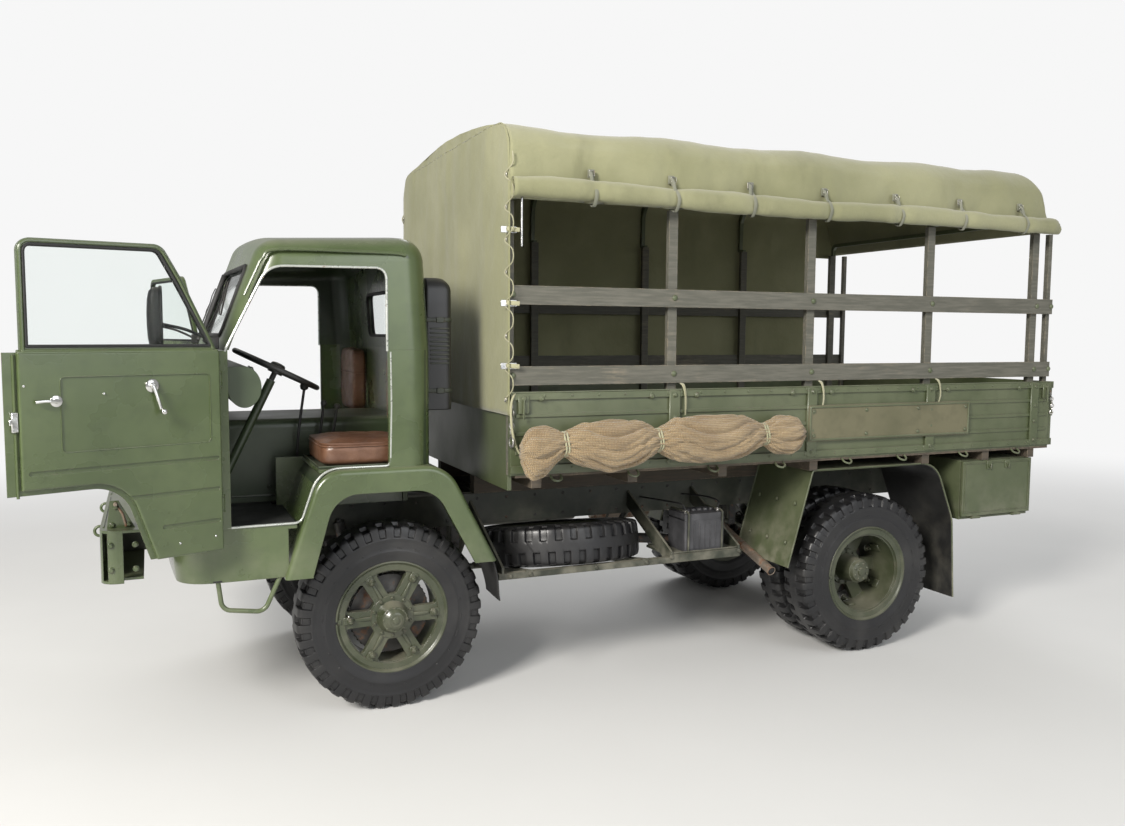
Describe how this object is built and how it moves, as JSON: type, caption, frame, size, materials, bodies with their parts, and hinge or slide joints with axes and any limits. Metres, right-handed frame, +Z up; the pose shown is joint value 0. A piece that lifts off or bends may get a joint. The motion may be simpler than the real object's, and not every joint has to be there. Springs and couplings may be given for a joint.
{
  "type": "forward-control military cargo truck",
  "caption": "Forward-control military cargo truck with open cab doors, slatted wooden bed sides, a canvas tilt, twin rear wheels and a spare wheel under the bed.",
  "frame": {"origin": "on the ground, below the middle of the whole object's box with both cab doors open as parked", "axes": "+X ahead, +Y to the truck's left, +Z up"},
  "size_m": [6.1207, 3.2713, 3.0849],
  "materials": {
    "green_paint": "worn satin green",
    "frame_paint": "dull dark green, dusty",
    "black_paint": "satin black",
    "cast_metal": "oily dark grey casting",
    "spring_steel": "dull",
    "tyre": "black rubber, slightly dusty",
    "timber": "grey-olive painted timber",
    "canvas": "khaki-olive canvas",
    "netting": "tan hessian scrim",
    "seat_leather": "worn brown",
    "glass": "clear",
    "mirror": "bright mirror face in a dark back",
    "lamp_glass": "clear lamp lens",
    "battery_case": "dark grey",
    "exhaust_steel": "bright steel with rust"
  },
  "bodies": {
    "truck": {"air_intake": "green_paint", "battery": "battery_case", "bed_floor": "timber", "bed_sides": "green_paint", "cab_lower": "green_paint", "cab_upper": "green_paint", "canopy": "canvas", "canopy_bows": "green_paint", "chassis_frame": "frame_paint", "dashboard": "green_paint", "engine_and_driveline": "cast_metal", "engine_cover": "green_paint", "exhaust": "exhaust_steel", "front_axle": "cast_metal", "front_bumper": "green_paint", "fuel_tank": "frame_paint", "lamps": "lamp_glass", "leaf_springs": "spring_steel", "mirrors": "mirror", "net_roll": "netting", "rear_axle": "cast_metal", "rear_mudguards": "black_paint", "seats": "seat_leather", "side_rack_left": "timber", "side_rack_right": "timber", "spare_rack": "frame_paint", "spare_tyre": "tyre", "spare_wheel": "green_paint", "tool_box": "frame_paint", "windows": "glass"},
    "knuckle_left": {"knuckle_left": "cast_metal"},
    "knuckle_right": {"knuckle_right": "cast_metal"},
    "front_left_wheel": {"front_wheel_left": "green_paint", "front_tyre_left": "tyre"},
    "front_right_wheel": {"front_wheel_right": "green_paint", "front_tyre_right": "tyre"},
    "rear_left_wheels": {"rear_wheel_left": "green_paint", "rear_tyres_left": "tyre"},
    "rear_right_wheels": {"rear_wheel_right": "green_paint", "rear_tyres_right": "tyre"},
    "steering_wheel": {"steering_wheel": "black_paint"},
    "left_door": {"door_left": "green_paint", "door_glass_left": "glass"},
    "right_door": {"door_right": "green_paint", "door_glass_right": "glass"},
    "tailgate": {"tailgate": "green_paint"},
    "tool_box_lid": {"tool_box_lid": "frame_paint"}
  },
  "joints": [
    {"name": "left_steer", "type": "hinge", "parent": "truck", "child": "knuckle_left", "pos_m": [1.4195, 0.8455, 0.488], "axis": [0, 0, 1], "range_deg": [-27, 27]},
    {"name": "right_steer", "type": "hinge", "parent": "truck", "child": "knuckle_right", "pos_m": [1.4195, -0.3545, 0.488], "axis": [0, 0, 1], "range_deg": [-27, 27]},
    {"name": "steering_wheel_turn", "type": "hinge", "parent": "truck", "child": "steering_wheel", "pos_m": [1.9495, 0.8055, 1.765], "axis": [-0.4384, 0, 0.8988], "range_deg": [-540, 540]},
    {"name": "front_left_spin", "type": "hinge", "parent": "knuckle_left", "child": "front_left_wheel", "pos_m": [1.4195, 0.9515, 0.488], "axis": [0, 1, 0], "continuous": true},
    {"name": "front_right_spin", "type": "hinge", "parent": "knuckle_right", "child": "front_right_wheel", "pos_m": [1.4195, -0.4605, 0.488], "axis": [0, 1, 0], "continuous": true},
    {"name": "rear_left_spin", "type": "hinge", "parent": "truck", "child": "rear_left_wheels", "pos_m": [-1.4935, 1.0295, 0.488], "axis": [0, 1, 0], "continuous": true},
    {"name": "rear_right_spin", "type": "hinge", "parent": "truck", "child": "rear_right_wheels", "pos_m": [-1.4935, -0.5385, 0.488], "axis": [0, 1, 0], "continuous": true},
    {"name": "left_door_hinge", "type": "hinge", "parent": "truck", "child": "left_door", "pos_m": [2.2555, 1.3075, 1.46], "axis": [0, 0, 1], "range_deg": [0, 159]},
    {"name": "right_door_hinge", "type": "hinge", "parent": "truck", "child": "right_door", "pos_m": [2.2555, -0.8165, 1.46], "axis": [0, 0, 1], "range_deg": [-110, 49]},
    {"name": "tailgate_hinge", "type": "hinge", "parent": "truck", "child": "tailgate", "pos_m": [-2.9605, 0.2455, 1.227], "axis": [0, -1, 0], "range_deg": [0, 90]},
    {"name": "tool_box_lid_hinge", "type": "hinge", "parent": "truck", "child": "tool_box_lid", "pos_m": [-2.518, 1.2915, 0.785], "axis": [-1, 0, 0], "range_deg": [0, 90]}
  ],
  "couplings": [
    {"joint": "right_steer", "follows": "left_steer", "ratio": 1},
    {"joint": "steering_wheel_turn", "follows": "left_steer", "ratio": 20}
  ]
}
